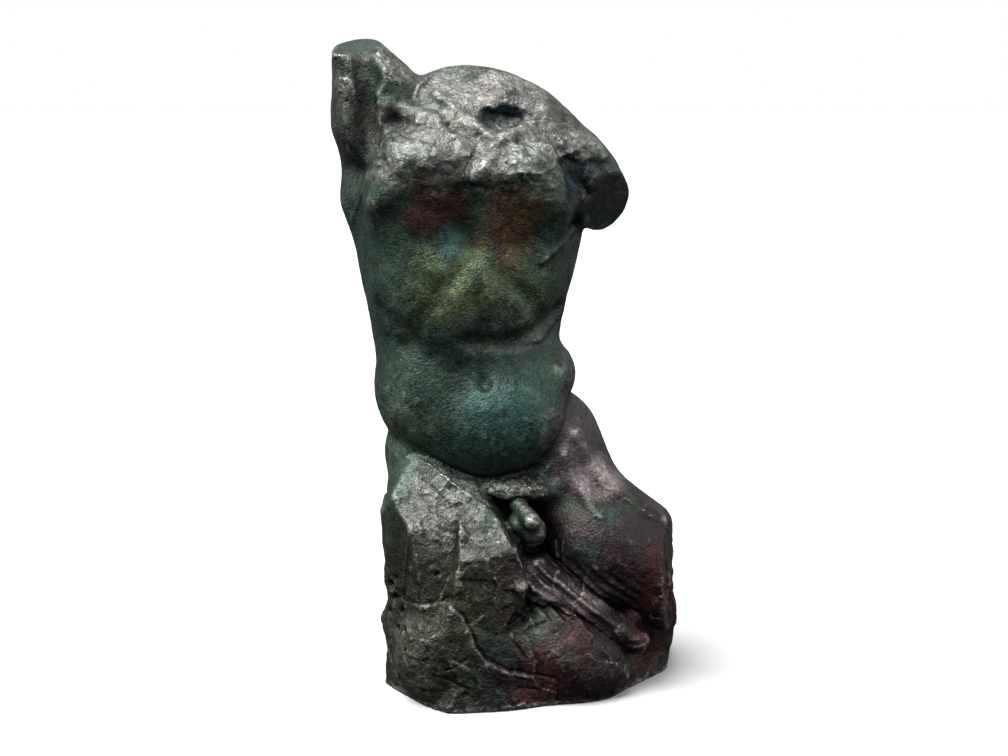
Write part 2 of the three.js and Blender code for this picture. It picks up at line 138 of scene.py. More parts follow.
rib_cage = join(
    egg([-118, 12, 700], [98, 104, 185], -3),  # right half
    [egg([2, 12, 695], [98, 104, 180], 5), 50],  # left half
    [egg([-66, -8, 610], [128, 96, 110]), 40],  # lower ribs
)

trunk = join(
    rib_cage,
    [egg([-60, 12, 510], [134, 92, 110]), 45],  # waist
    [egg([-16, -31, 424], [112, 86, 95], -14), 30],  # belly
    [egg([-124, -12, 452], [72, 78, 84], -12), 42],  # right flank
    [egg([64, 14, 490], [47, 66, 54], -24), 24],  # left flank, folded over the hip
    [limb([-226, 44, 890], [-202, 45, 755], 36, 43), 24],  # right back muscle, drawn up by the arm
    [limb([-202, 45, 755], [-163, 36, 556], 43, 38), 35],
    [limb([92, 42, 760], [62, 32, 572], 42, 27), 30],  # left back muscle
    [egg([-118, -48, 790], [92, 56, 80], -38), 42],  # right side of the chest
    [egg([20, -50, 778], [90, 56, 74], 12), 42],  # left side of the chest
    [egg([-45, 22, 850], [160, 80, 82], 3), 35],  # shoulder girdle
    [limb([31, 24, 877], [96, 10, 821], 56, 54), 20],  # slope of the left shoulder
    [egg([-132, 62, 780], [62, 44, 92], 12), 26],  # shoulder blades
    [egg([36, 60, 776], [58, 42, 84], -14), 26],
)

# The stump of the neck, broken to two flat facets that tip forward over the hollow of the throat.
throat = egg([4, -86, 884], [54, 56, 28])
neck_and_trunk = hollow(
    trim(
        join(trunk, [egg([-38, 34, 893], [116, 76, 66], 8), 12]),
        [face([-50, -50, 901], [-0.08, -0.62, 0.78]), 3],
        [face([20, -46, 903], [0.22, -0.58, 0.78]), 3],
    ),
    throat,
    5,
)

# The raised right arm, broken above the shoulder.
right_arm = trim(
    hollow(
        join(
            egg([-196, 18, 895], [60, 60, 92], 10),
            [limb([-216, 30, 880], [-222, 30, 1030], 48, 46), 24],
            [limb([-222, 24, 985], [-168, 20, 925], 40, 44), 18],
        ),
        limb([-208, -46, 985], [-216, -36, 820], 26, 16),  # armpit
        14,
    ),
    [face([-228, 15, 984], [-0.1, -0.25, 0.96]), 6],
    [face([-167, 0, 973], [0.64, -0.05, 0.77]), 8],
    [face([-190, -34, 955], [0.45, -0.62, 0.64]), 5],
    [face([-262, 0, 930], [-0.99, -0.1, 0.05]), 6],
)

# The hanging left arm, broken just below the shoulder.
left_arm = trim(
    join(
        egg([88, 2, 806], [62, 62, 54], 40),
        [limb([98, 6, 802], [170, 10, 742], 52, 46), 20],
        [egg([136, 10, 800], [42, 40, 38], 35), 14],
    ),
    [face([157, -2, 763], [0.66, -0.6, -0.44]), 5],
)

hips = join(
    egg([-34, 40, 345], [152, 96, 96]),
    [egg([-96, 84, 290], [88, 88, 92]), 25],  # buttocks
    [egg([78, 88, 300], [92, 86, 94]), 25],
    [egg([65, 24, 381], [80, 74, 84], 30), 25],  # left hip
    [egg([-128, 8, 372], [56, 70, 72]), 25],  # right hip
)

# The left thigh, spread to the side, with a flat upper facet and a broken end.
left_thigh = join(
    trim(
        join(
            limb([74, 20, 320], [262, -24, 174], 88, 88),
            [egg([160, -48, 222], [102, 80, 78], 38), 30],
        ),
        [face([252, -60, 200], [0.97, -0.18, 0.02]), 4],
        [face([190, -97, 303], [0.505, -0.376, 0.777]), 6],
        [face([214, 0, 303], [0.6, 0.1, 0.79]), 16],
    ),
    [egg([106, 4, 350], [57, 68, 90], -28), 26],
)

# The right thigh runs forward, and its break looks forward and up.
right_thigh = trim(
    join(
        limb([-104, 6, 320], [-100, -200, 210], 82, 86),
        [limb([-64, 0, 295], [-60, -200, 190], 84, 92), 20],
    ),
    [face([-60, -103, 324], [0.3, -0.52, 0.8]), 5],
    [face([21, -165, 237], [0.79, -0.14, 0.6]), 6],
)

# The front of the block under the right thigh: the left half leans back, the right one stands proud.
block_front = join(
    face([-95, -131, 284], [0.14, -0.972, 0.188]),
    [
        trim(
            face([-65, -168, 236], [0.13, -0.99, 0.05]),
            [face([-70, -150, 240], [-0.85, -0.35, 0.2]), 5],
        ),
        5,
    ],
)

block = join(
    trim(
        join(
            trim(
                face([22, -165, 200], [0.97, -0.1, 0.1]),
                [face([20, -165, 168], [0.6, -0.6, -0.53]), 10],
                [face([0, 20, 0], [0, 1, 0]), 4],
                [face([0, 0, 250], [0, 0, 1]), 4],
            ),
            [right_thigh, 8],
        ),
        [face([-183, 0, 0], [-1, 0, 0]), 8],
        [face([-181, -30, 60], [-0.96, -0.15, -0.2]), 8],
        [face([-128, -135, 0], [-0.8, -0.6, -0.05]), 6],
        [block_front, 4],
        [face([-67, -100, 325], [0, -0.81, 0.59]), 3],  # the break of the thigh
    ),
    [egg([-90, -118, 80], [76, 66, 92], 10), 6],  # swelling on the front
    [egg([-170, -40, 104], [21, 40, 30]), 8],  # knob on the side
)

# The seat: a rock of flat faces under the hips.
seat = trim(
    face([0, 0, 285], [0, 0, 1]),
    [face([-180, 0, 60], [-1, 0, -0.06]), 9],
    [face([-140, -118, 0], [-0.8, -0.6, 0]), 9],
    [face([30, -120, 100], [0.14, -1, 0.3]), 9],
    [face([148, -109, 0], [0.42, -0.9, 0.12]), 9],
    [face([215, -47, 0], [0.78, -0.62, 0.05]), 9],
    [face([262, 60, 0], [1, 0, 0.03]), 9],
    [face([200, 170, 0], [0.6, 0.8, 0]), 9],
    [face([0, 185, 0], [0, 1, 0]), 9],
    [face([-150, 140, 0], [-0.7, 0.7, 0]), 9],
    [face([45, -100, 215], [0.57, -0.35, 0.78]), 9],
    [face([-150, 150, 235], [-0.55, 0.6, 0.58]), 9],
    [face([120, 165, 180], [0.25, 0.8, 0.54]), 9],
    [face([-20, 175, 130], [-0.15, 0.96, 0.24]), 9],
)

# The low ledge along the front of the base.
ledge = trim(
    face([-6, -174, 0], [0.13, -0.99, 0.03]),
    [face([86, -139, 0], [0.4, -0.91, 0.1]), 10],
    [face([150, -109, 0], [0.7, -0.7, 0.14]), 8],
    [face([0, -150, 122], [0.38, -0.34, 0.86]), 14],
    [face([0, -40, 0], [0, 1, 0]), 8],
    [face([-88, -183, 0], [-0.8, -0.6, 0.05]), 16],
)

# The spur of rock under the broken end of the left thigh.
spur = trim(
    face([216, -85, 145], [0.68, -0.68, -0.28]),
    [face([216, -85, 145], [-0.26, -0.94, 0.21]), 5],
    [face([271, 0, 115], [1, 0, 0.2]), 6],
    [face([277, 0, 78], [1, 0, -0.18]), 6],
    [face([0, 0, 180], [0, 0, 1]), 6],
    [face([0, 120, 0], [0, 1, 0]), 6],
    [face([130, 0, 0], [-1, 0, 0]), 6],
)

boulder = egg([78, -78, 66], [122, 84, 84], 22)

drapery = join(
    egg([118, -72, 140], [124, 46, 34], 38),
    [limb([52, -84, 196], [206, -88, 84], 26, 16), 10],
    [egg([46, -92, 178], [46, 34, 30], 24), 10],
)

pubis = egg([20, -60, 320], [62, 40, 22], 4)
sex = join(
    egg([40, -98, 262], [25, 26, 25]),
    [egg([24, -98, 272], [20, 24, 20]), 6],
    [limb([22, -92, 300], [42, -124, 283], 13, 14), 7],
)

upper_body = join(neck_and_trunk, [right_arm, 14], [left_arm, 22])
lower_body = join(hips, [left_thigh, 25], [pubis, 20], [block, 8])
base = join(join(seat, [join(boulder, [ledge, 22]), 6]), [spur, 6], [drapery, 6])

mass = trim(
    join(upper_body, [lower_body, 9], [sex, 5], [base, 5]),
    [face([0, 0, 0], [0, 0, -1]), 1],  # the underside
)

# ---------------------------------------------------------------------------------- strokes of clay

# Each stroke is a path of [x, z] over the surface, its half-width and its height.
FRONT = [
    ([[-50, 825], [-50, 770], [-52, 700]], 16, -9),  # breastbone
    ([[-66, 718], [-100, 706], [-140, 713], [-178, 750]], 18, -3),  # under the chest
    ([[-40, 718], [0, 696], [40, 698], [78, 728]], 18, -4),
    ([[-190, 758], [-160, 788], [-143, 818], [-72, 836]], 22, 12),  # crests
    ([[-44, 802], [-20, 812], [12, 804], [34, 818], [62, 832]], 17, 12),
    ([[-132, 776], [-98, 748]], 34, -9),  # hollows under the crests
    ([[-20, 764], [28, 730]], 34, -9),
    ([[-213, 978], [-200, 940], [-203, 871], [-201, 818]], 14, -14),  # armpit
    ([[-101, 915], [-72, 892], [-40, 868]], 9, 10),  # neck tendon
    ([[-194, 920], [-160, 905], [-128, 889], [-104, 878]], 11, 9),  # collar bones
    ([[-39, 866], [-12, 850], [28, 863], [72, 866], [102, 856]], 10, 9),
    ([[61, 895], [92, 885], [106, 872]], 10, 9),
    ([[-158, 836], [-148, 828]], 26, 7),  # upper chest
    ([[-152, 874], [-140, 866]], 17, -6),
    ([[84, 846], [112, 850], [142, 832]], 16, 10),  # head of the left shoulder
    ([[98, 818], [108, 775]], 17, -18),  # hollow below it
    ([[118, 724], [100, 700], [62, 676]], 9, 5),  # edge of the left side
    ([[-40, 620], [-32, 560], [-30, 500]], 12, -4),  # midline of the belly
    ([[-44, 690], [-92, 632], [-128, 575], [-150, 545]], 16, -5),  # rib arch
    ([[-30, 680], [30, 622], [66, 580]], 16, -4),
    ([[-52, 552], [-10, 548], [30, 554], [58, 570], [84, 590]], 13, -10),  # waist fold
    ([[-190, 600], [-150, 570], [-112, 530]], 14, -4),
    ([[-31, 492], [-29, 488]], 8, -11),  # navel
    ([[112, 402], [140, 350], [182, 318], [216, 292], [244, 272]], 13, 7),  # thigh
    ([[94, 372], [118, 322], [142, 292]], 14, 6),
    ([[52, 212], [110, 165], [166, 118], [200, 90]], 9, 9),  # folds of the drapery
    ([[30, 218], [62, 176], [100, 142]], 7, 8),
    ([[24, 190], [50, 172], [76, 158]], 8, 8),
]
BACK = [
    ([[-48, 850], [-50, 760], [-46, 660], [-38, 560], [-28, 420]], 18, -12),  # spine
    ([[-78, 640], [-70, 540], [-62, 460]], 22, 7),  # muscles along the spine
    ([[-14, 640], [-8, 540], [2, 460]], 22, 7),
    ([[-186, 730], [-140, 700], [-90, 720]], 16, -6),  # under the shoulder blades
    ([[80, 730], [40, 700], [0, 716]], 16, -6),
    ([[-26, 400], [-20, 330], [-16, 290]], 16, -18),  # between the buttocks
]


def touch(x, z, sign):
    """Where a line along Y at (x, z), coming from that side, first meets the mass."""
    y = sign * np.arange(280.0, -280.0, -1.0)
    met = mass(np.full(len(y), float(x)), y, np.full(len(y), float(z))) <= 0
    return (x, y[np.argmax(met)], z)


def on_skin(path, sign=-1):
    """A path of [x, z] laid on the front, or on the back when the sign is +1."""
    return [touch(x, z, sign) for x, z in path]


STROKES = [(on_skin(path, sign), width, height)
           for sign, rows in ((-1, FRONT), (1, BACK)) for path, width, height in rows]
REACH = 3  # a stroke is worked out within so many of its half-widths
SEAM_REACH = 40  # and only this near to the surface, in millimetres


def path_distance(p, points):
    """The distance to the nearest segment of a path."""
    x, y, z = p.T
    nearest = np.full(len(p), np.inf)
    for start, end in zip(points[:-1], points[1:]):
        nearest = np.minimum(nearest, from_segment(x, y, z, start, end)[1])
    return nearest


def figure(p):
    """The mass, with each stroke laid on it: its height falls off as a bell curve across its path."""
    d = mass(*p.T)
    near = np.abs(d) < SEAM_REACH
    q = p[near]
    for points, width, height in STROKES:
        low, high = np.min(points, 0) - REACH * width, np.max(points, 0) + REACH * width
        close = ((q > low) & (q < high)).all(axis=1)
        bell = np.exp(-(path_distance(q[close], points) / width) ** 2)
        part = np.flatnonzero(near)[close]
        d[part] -= height * bell
    return d


# ---------------------------------------------------------------- skin

CORNERS = np.array([(i, j, k) for i in (0, 1) for j in (0, 1) for k in (0, 1)])


def sample(field, cell, coarse=4):
    """The field on a grid: everywhere on a coarse one, and finely only where that is near zero."""
    low, high = np.array(LOW), np.array(HIGH)
    count = np.ceil((high - low) / (cell * coarse)).astype(int) * coarse + 1
    axes = [low[i] + cell * np.arange(count[i]) for i in range(3)]
    rough = np.stack(np.meshgrid(*[a[::coarse] for a in axes], indexing="ij"), -1)
    value = field(rough.reshape(-1, 3)).reshape(rough.shape[:3])
    nearest = [np.round(np.arange(n) / coarse).astype(int) for n in count]
    grid = value[np.ix_(*nearest)]
    near = np.abs(grid) < 2.2 * cell * coarse
    grid[near] = field(np.stack([axes[i][n] for i, n in enumerate(np.nonzero(near))], 1))
    return axes, grid


def draw_skin(axes, grid):
    """Surface nets: a vertex in each cell that the surface crosses, a face round each crossed edge."""
    inside = grid < 0
    shape = np.array(grid.shape)

    def shifted(array, corner):
        return array[tuple(slice(c, n - 1 + c) for c, n in zip(corner, shape))]

    count = sum(shifted(inside, c).astype(int) for c in CORNERS)
    crossed = (count > 0) & (count < 8)
    number = np.full(crossed.shape, -1)
    number[crossed] = np.arange(crossed.sum())
    cells = np.argwhere(crossed)
    values = np.stack([grid[tuple((cells + c).T)] for c in CORNERS], 1)
    total, crossings = np.zeros(cells.shape), np.zeros(len(cells))
    for a in range(8):
        for b in range(a + 1, 8):
            if np.abs(CORNERS[a] - CORNERS[b]).sum() > 1:
                continue
            cut = (values[:, a] < 0) != (values[:, b] < 0)
            t = np.where(cut, values[:, a] / np.where(cut, values[:, a] - values[:, b], 1), 0)
            total += cut[:, None] * (CORNERS[a] + t[:, None] * (CORNERS[b] - CORNERS[a]))
            crossings += cut
    first = np.array([a[0] for a in axes])
    points = first + (cells + total / crossings[:, None]) * (axes[0][1] - axes[0][0])
    quads = []
    for axis in range(3):
        u, v = (axis + 1) % 3, (axis + 2) % 3
        back = tuple(slice(0, -1) if i == axis else slice(None) for i in range(3))
        ahead = tuple(slice(1, None) if i == axis else slice(None) for i in range(3))
        edges = np.argwhere(inside[back] != inside[ahead])
        corners = []
        for du, dv in ((1, 1), (0, 1), (0, 0), (1, 0)):
            cell = edges.copy()
            cell[:, u] -= du
            cell[:, v] -= dv
            corners.append(number[tuple(cell.T)])
        around = np.stack(corners, 1)
        outer = ~inside[tuple(edges.T)]
        around[outer] = around[outer][:, ::-1]
        quads.append(around)
    return points, np.concatenate(quads)


def cut_in_four(points, quads):
    """Each face in four, from the middles of its edges and its own middle."""
    edges = np.sort(np.stack([quads, np.roll(quads, -1, 1)], 2).reshape(-1, 2), 1)
    edges, which = np.unique(edges, axis=0, return_inverse=True)
    which = which.reshape(-1, 4) + len(points)
    middles = np.arange(len(quads)) + len(points) + len(edges)
    finer = np.concatenate([points, points[edges].mean(1), points[quads].mean(1)])
    pieces = [np.stack([quads[:, i], which[:, i], middles, which[:, i - 1]], 1) for i in range(4)]
    return finer, np.concatenate(pieces)


def settle(field, points, rounds=2, step=0.4):
    """Points moved along the field's slope onto its zero, and the way the surface faces there.

    Four samples at the corners of a small tetrahedron give the field's value and its slope at once.
    """
    probes = np.array([(1, -1, -1), (-1, -1, 1), (-1, 1, -1), (1, 1, 1)])
    for _ in range(rounds):
        samples = [field(points + step * probe) for probe in probes]
        slope = sum(s[:, None] * probe for s, probe in zip(samples, probes)) / (4 * step)
        length = np.maximum((slope ** 2).sum(1), 0.1)
        move = np.clip(-sum(samples) / 4 / length, -2, 2)
        points = points + slope * move[:, None]
    return points, slope / np.linalg.norm(slope, axis=1, keepdims=True)


# ---------------------------------------------------------------- grain of the old metal


def scatter(cell, seed):
    """A number from 0 to 1 for each lattice cell, mixed from its three whole numbers and a seed."""
    n = cell.astype(np.uint64)
    h = n[:, 0] * np.uint64(73856093) ^ n[:, 1] * np.uint64(19349663) ^ n[:, 2] * np.uint64(83492791)
    h = (h ^ np.uint64(seed * 2654435761 % 2 ** 32)) * np.uint64(0x9E3779B97F4A7C15)
    return ((h >> np.uint64(40)) & np.uint64(0xFFFF)).astype(float) / 0xFFFF


def clouds(p, size, seed=0):
    """Smooth noise from -1 to 1: numbers on a turned lattice of that size, joined by S-curves."""
    q = p @ TURNED.T / size + 1000 + 7.3 * seed
    cell = np.floor(q).astype(np.int64)
    f = q - cell
    f = f * f * (3 - 2 * f)
    total = np.zeros(len(p))
    for corner in CORNERS:
        total += np.prod(np.where(corner, f, 1 - f), axis=1) * scatter(cell + corner, seed)
    return 2 * total - 1


TURNED = np.array([(0.36, 0.48, -0.8), (-0.8, 0.6, 0.0), (0.48, 0.64, 0.6)])


def mottle(p, size, octaves=3, seed=0):
    """Clouds of several sizes, each half the size and half the height of the one before."""
    return sum(clouds(p, size / 2 ** n, seed + n) / 2 ** n for n in range(octaves)) / 1.6


def flakes(p, size, seed=0):
    """Broken facets: each point takes the tilted plane of its nearest seed in a jittered lattice.

    Gives the height of the facet and the distance to its edge, both in parts of the size.
    """
    q = p / size + 1000
    cell = np.floor(q).astype(np.int64)
    nearest, second = np.full(len(p), 9.0), np.full(len(p), 9.0)
    height = np.zeros(len(p))
    for i in (-1, 0, 1):
        for j in (-1, 0, 1):
            for k in (-1, 0, 1):
                around = cell + (i, j, k)
                jitter = np.stack([scatter(around, seed + n) for n in range(3)], 1)
                away = q - around - jitter
                distance = np.sqrt((away ** 2).sum(1))
                tilt = np.stack([scatter(around, seed + 3 + n) for n in range(3)], 1) - 0.5
                plane = (away * tilt).sum(1) + 0.5 * (scatter(around, seed + 6) - 0.5)
                closer = distance < nearest
                second = np.where(closer, nearest, np.minimum(second, distance))
                height = np.where(closer, plane, height)
                nearest = np.minimum(nearest, distance)
    return height, second - nearest


def ease(value, start, end):
    """An S-curve from 0 at the start to 1 at the end."""
    t = np.clip((value - start) / (end - start), 0, 1)
    return t * t * (3 - 2 * t)


def patch(p, at, radii, edge=0.35):
    """1 inside an ellipsoid about a point, falling to 0 over its edge."""
    reach = np.sqrt((((p - np.array(at)) / np.array(radii)) ** 2).sum(1))
    return 1 - ease(reach, 1 - edge, 1 + edge)


# ---------------------------------------------------------------- working the skin

# The broken faces: name, middle, reach, the way the face looks, the size and height of its grain, and
# how far the bare metal shows.
BREAKS = [
    ("neck", (-24, -5, 918), (104, 70, 44), (0.05, -0.6, 0.78), 6, 0.9, 1.0),
    ("right arm, outer side", (-238, -5, 955), (26, 60, 52), (-0.35, -0.75, 0.4), 10, 2.6, 0.15),
    ("right arm, top", (-172, -15, 962), (42, 60, 42), (0.5, -0.5, 0.7), 8, 2.0, 0.8),
    ("right thigh", (-60, -115, 310), (96, 70, 96), (0.1, -0.79, 0.6), 15, 2.8, 0.55),
]
# Edges and grooves, laid on the front: path, half-width and height.
TOOLED = [
    ([[-96, 908], [-88, 906], [-63, 881], [-54, 869]], 5, 5),  # tendon of the neck
    ([[-85, 873], [-51, 852]], 8, -5),
    ([[-118, 939], [-129, 927], [-135, 908], [-153, 902]], 5, 4),  # where the neck meets the shoulder
    ([[-178, 918], [-160, 912]], 12, -7),
    ([[-178, 876], [-150, 872]], 9, -4),
    ([[-12, 861], [32, 858], [40, 863], [52, 868]], 5, 4),
    ([[20, 850], [34, 844]], 9, -5),
    ([[84, 827], [95, 835], [115, 841], [130, 842]], 5, 5),
    ([[-188, 905], [-152, 891], [-109, 869]], 8, 4),  # right collar bone
    ([[-94, 866], [-72, 849], [-53, 823], [-35, 809]], 8, 4),
    ([[-16, 841], [10, 857], [52, 871]], 6, 4),  # left collar bone
    ([[61, 881], [84, 876], [121, 850]], 6, 4),
    ([[-183, 760], [-160, 780], [-145, 816], [-108, 824], [-72, 833], [-53, 837]], 8, 3),  # crests
    ([[-43, 797], [-20, 812], [-6, 805], [16, 802], [31, 812], [53, 823], [83, 829]], 7, 5),
    ([[86, 830], [106, 842], [129, 847]], 8, 4),  # head of the left shoulder
    ([[121, 850], [152, 827], [185, 795]], 9, 3),
    ([[83, 821], [106, 798], [130, 768]], 11, -6),
    ([[124, 718], [101, 710], [84, 694], [66, 679], [54, 670]], 5, 3),  # edge of the left side
    ([[118, 708], [96, 697], [78, 682], [58, 662]], 7, -3),
    ([[-224, 968], [-212, 909], [-210, 834], [-207, 763]], 9, -5),  # armpit
    ([[-214, 894], [-207, 834], [-202, 792], [-216, 766], [-234, 726]], 6, 3),
    ([[-51, 551], [-29, 546], [-6, 543], [24, 542], [55, 540], [71, 551], [84, 568]], 7, -3),  # waist
    ([[-34, 488], [-29, 484]], 6, -6),  # navel
    ([[121, 383], [147, 337], [152, 324], [185, 304], [224, 278], [257, 245]], 6, 5),  # left thigh
    ([[101, 351], [123, 308], [146, 284]], 6, 5),
    ([[-147, 367], [-113, 358], [-82, 336], [-67, 326], [-21, 299], [9, 259], [21, 232]], 4, 3),  # rim
    ([[-37, 323], [-6, 287], [18, 247]], 3, -2),
    ([[-102, 280], [-106, 313], [-82, 339]], 5, 3),
    ([[-21, 320], [2, 314], [24, 318], [47, 327], [67, 352]], 6, 3),  # over the lap
    ([[12, 108], [9, 132], [23, 158], [55, 149], [88, 148], [123, 115], [163, 68]], 6, 4),  # boulder
    ([[39, 123], [62, 130], [88, 125], [115, 104]], 3, -2),
    ([[228, 125], [210, 72], [171, 15]], 6, 5),  # right end of the rock
    ([[-141, 271], [-152, 206], [-156, 156], [-138, 110]], 5, 3),  # left edge of the block
    ([[-110, 164], [-81, 170], [-61, 152], [-45, 119], [-42, 106], [-25, 82], [3, 66], [12, 62]], 3, -4),
    ([[12, 62], [47, 54], [77, 47], [83, 42], [81, 8]], 2.6, -4),  # cracks
    ([[-87, 69], [-73, 75], [-58, 84]], 3, -4),
    ([[12, 107], [24, 95], [32, 81]], 3, -5),
    ([[-149, 92], [-146, 75]], 3, -4),
    ([[-103, 61], [-73, 47], [-51, 37]], 3, -3),
    ([[17, 32], [36, 33], [55, 28]], 3, -3),
]
# Steps in the rock, which stands proud on the left of a path walked along: path, height and run.
STEPS = [
    ([[12, 62], [3, 66], [-25, 82], [-42, 106], [-45, 119], [-61, 152], [-81, 170], [-110, 164]], 5, 45),
    ([[22, 178], [32, 151], [55, 164], [78, 157], [94, 148], [124, 128], [140, 112], [170, 91]], 5, 16),
]
# Holes: place on the front, radius and depth.
HOLES = [
    (-176, 172, 6, 9), (-171, 150, 7, 10), (-158, 136, 5, 8), (-163, 104, 6, 8), (-150, 118, 4, 6),
    (-101, 207, 3, 6), (-178, 128, 5, 8), (-168, 186, 4, 6), (-120, 30, 4, 5), (-60, 28, 5, 5),
]


# Heights of the relief, in millimetres.
SWELL, LUMP = 1.8, 1.0  # everywhere
FOLD, CHIP, GRIT = 9.0, 2.0, 1.0  # upper chest
FACET, HEAP, PIT = 5.0, 3.0, 2.5  # rock
PLEAT, CURL = 2.2, 3.0
ALONG_THE_FOLDS = np.array([(0.8, 0, 0.62), (0, 1, 0), (-0.5, 0, 1.1)])  # draws the noise out


def break_mask(p, facing, at, reach, looks):
    """Where the skin lies on a broken face: near its middle, and looking its way."""
    looks = np.array(looks) / np.linalg.norm(looks)
    return patch(p, at, reach) * ease(facing @ looks, 0.72, 0.92)


def laid(p, path, width):
    """The points near a path on the front, and their distance to it, which wanders a little."""
    points = on_skin(path)
    low, high = np.min(points, 0) - REACH * width, np.max(points, 0) + REACH * width
    close = np.flatnonzero(((p > low) & (p < high)).all(axis=1))
    near = p[close]
    return close, np.abs(path_distance(near, points) + 0.25 * width * mottle(near, 3 * width, 2, 8))


def step_height(p, path, height, run):
    """Raised on the left of the path, seen from the front, and sinking away over the run."""
    close, _ = laid(p, path, run)
    x, _, z = p[close].T
    side, nearest = np.zeros(len(close)), np.full(len(close), np.inf)
    for (ax, az), (bx, bz) in zip(path[:-1], path[1:]):
        d = from_segment(x, 0 * x, z, (ax, 0, az), (bx, 0, bz))[1]
        cross = (bx - ax) * (z - az) - (bz - az) * (x - ax)
        side = np.where(d < nearest, cross, side)
        nearest = np.minimum(nearest, d)
    signed = nearest * np.sign(side) + 2 * mottle(p[close], 14, 2, 12)
    return close, height * ease(signed, 0, 3) * np.exp(-np.maximum(signed, 0) / run)


def work(p, facing):
    """Height to add along the skin, in millimetres."""
    x, y, z = p.T
    front = ease(-facing[:, 1], -0.2, 0.4)
    rock = 1 - ease(z + 25 * clouds(p, 60, 21), 190, 270)
    neck = break_mask(p, facing, *BREAKS[0][1:4])
    chest = patch(p, (-30, -80, 842), (190, 110, 78)) * (1 - neck)
    height = (SWELL * mottle(p, 70, 3, 1) + LUMP * mottle(p, 20, 4, 2)) * (1 - 0.7 * neck)
    some = chest > 0.02
    drawn = p[some] @ ALONG_THE_FOLDS
    folds = 0.35 - np.abs(mottle(drawn, 42, 4, 4))
    height[some] += chest[some] * (FOLD * folds + CHIP * flakes(drawn, 22, 5)[0]
                                   + GRIT * mottle(p[some], 9, 3, 6))
    some = rock > 0.02
    facets, _ = flakes(p[some], 42, 7)
    height[some] += rock[some] * (FACET * facets + HEAP * mottle(p[some], 30, 5, 11)
                                  - PIT * np.maximum(0, mottle(p[some], 9, 2, 13) - 0.25))
    for n, (_, at, reach, looks, size, rise, _) in enumerate(BREAKS):
        mask = break_mask(p, facing, at, reach, looks)
        some = mask > 0
        long = p[some] * (0.72, 1.0, 1.0) + p[some][:, 2:] * (0.45, 0, 0)
        facets, _ = flakes(long, size, 10 * n)
        coarse, _ = flakes(long, 2.6 * size, 10 * n + 5)
        height[some] += mask[some] * rise * (facets + 1.6 * coarse + 0.5 * mottle(p[some], size, 3, n))
    for path, width, rise in TOOLED:
        close, far = laid(p, path, width)
        height[close] += rise * np.exp(-1.5 * (far / width) ** 1.3)
    for path, rise, run in STEPS:
        close, raised = step_height(p, path, rise, run)
        height[close] += raised
    for hx, hz, radius, depth in HOLES:
        close, far = laid(p, [[hx, hz], [hx + 2, hz + 1]], radius)
        height[close] -= depth * np.exp(-(far / radius) ** 2)
    pleats = patch(p, (95, -100, 165), (110, 60, 45)) * front
    across = 0.64 * (x - 63) + 0.77 * (z - 216)
    height += pleats * PLEAT * np.sin(across / 2.2 + 1.4 * mottle(p, 30, 2, 17))
    curls = patch(p, (40, -95, 330), (50, 40, 26))
    some = curls > 0.02
    height[some] += curls[some] * CURL * flakes(p[some], 9, 19)[0]
    return height


GROUND_FADE = (1.0, 9.0)  # the relief grows between these heights above the underside
UNDERSIDE = 1.2  # lower points are laid flat at z = 0


def cast_torso():
    """The finished skin as a mesh."""
    points, quads = draw_skin(*sample(figure, CELL))
    points, quads = cut_in_four(points, quads)
    points, facing = settle(figure, points)
    height = work(points, facing)
    points = points + facing * (height * ease(points[:, 2], *GROUND_FADE))[:, None]
    points[:, 2] = np.where(points[:, 2] < UNDERSIDE, 0, points[:, 2])
    mesh = bpy.data.meshes.new("torso_skin")
    mesh.vertices.add(len(points))
    mesh.loops.add(quads.size)
    mesh.polygons.add(len(quads))
    places = (points - (CENTRE[0], CENTRE[1], 0)) / 1000
    mesh.vertices.foreach_set("co", places.astype(np.float32).ravel())
    mesh.loops.foreach_set("vertex_index", quads.astype(np.int32).ravel())
    mesh.polygons.foreach_set("loop_start", np.arange(0, quads.size, 4, dtype=np.int32))
    mesh.update(calc_edges=True)
    rough = bpy.data.objects.new("rough_skin", mesh)
    bpy.context.scene.collection.objects.link(rough)
    thin = rough.modifiers.new("thin", "DECIMATE")
    thin.ratio = TRIANGLES / (2 * len(quads))
    thin.use_collapse_triangulate = True
    graph = bpy.context.evaluated_depsgraph_get()
    finished = bpy.data.meshes.new_from_object(rough.evaluated_get(graph))
    bpy.data.objects.remove(rough)
    bpy.data.meshes.remove(mesh)
    finished.name = "torso_bronze"
    finished.shade_smooth()
    piece = bpy.data.objects.new("torso_bronze", finished)
    bpy.context.scene.collection.objects.link(piece)
    return piece


# ---------------------------------------------------------------- patina, painted shade and painted highlights

# Tints of the patina, of painted shade and of painted highlights, in linear light.
TINTS = {
    "verdigris": (0.018, 0.038, 0.027),
    "deep green": (0.009, 0.022, 0.016),
    "painted highlight green": (0.050, 0.075, 0.056),
    "yellow green": (0.055, 0.070, 0.028),
    "teal": (0.010, 0.042, 0.042),
    "deep blue and painted shade": (0.004, 0.012, 0.017),
    "dark red": (0.030, 0.008, 0.009),
    "orange brown": (0.052, 0.026, 0.009),
    "painted highlight grey": (0.115, 0.118, 0.109),
    "mid grey": (0.045, 0.045, 0.041),
    "painted shade grey": (0.024, 0.025, 0.022),
    "break grey": (0.120, 0.118, 0.111),
    "olive": (0.026, 0.026, 0.014),
    "dark olive": (0.014, 0.014, 0.009),
    "grey olive": (0.052, 0.050, 0.038),
    "purple brown": (0.013, 0.0065, 0.0075),
    "purple grey": (0.034, 0.026, 0.028),
    "crimson": (0.045, 0.008, 0.012),
    "painted highlight rose": (0.15, 0.12, 0.125),
}
